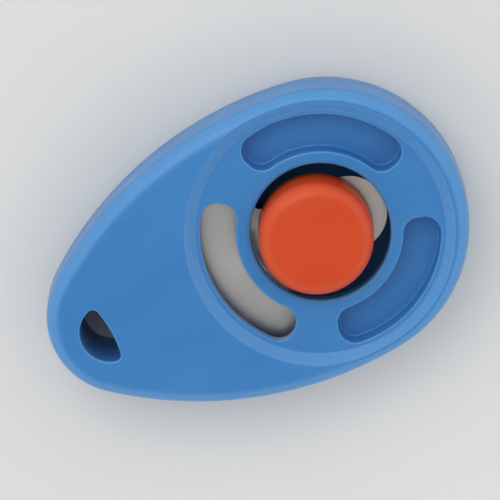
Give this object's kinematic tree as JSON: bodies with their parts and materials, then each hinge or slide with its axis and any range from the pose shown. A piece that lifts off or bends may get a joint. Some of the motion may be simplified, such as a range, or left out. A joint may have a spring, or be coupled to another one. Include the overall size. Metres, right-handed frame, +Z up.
{
  "type": "clicker trainer",
  "caption": "Teardrop two-shell animal-training clicker with a raised round push button on a spring-steel tongue, curved sound slots and a lanyard hole.",
  "frame": {"origin": "centre of the footprint on the plane of the flat underside", "axes": "+X along the long axis towards the wide end with the button, +Z up out of the button face, plane Y = 0 down the middle"},
  "size_m": [0.07, 0.0458, 0.0179],
  "materials": {
    "housing_plastic": "blue moulded ABS, satin gloss",
    "base_plastic": "blue moulded ABS, satin gloss",
    "button_plastic": "orange-red moulded ABS, fine satin",
    "spring_steel": "rolled spring steel",
    "clamp_steel": "zinc-plated steel",
    "washer_steel": "zinc-plated steel",
    "screw_steel": "zinc-plated steel"
  },
  "bodies": {
    "housing": {"top_shell": "housing_plastic", "bottom_shell": "base_plastic", "click_plate": "spring_steel", "plate_clamp_bar": "clamp_steel", "plate_screws": "screw_steel", "housing_screws": "screw_steel"},
    "button": {"button_cap": "button_plastic", "button_washer": "washer_steel", "button_screw": "screw_steel"}
  },
  "joints": [
    {"name": "button_press", "type": "hinge", "parent": "housing", "child": "button", "pos_m": [-0.004, 0, 0.0086], "axis": [0, 1, 0], "range_deg": [0, 6], "stiffness_Nm_per_rad": 0.6, "springref_deg": -1.43, "deforming": ["click_plate"]}
  ]
}
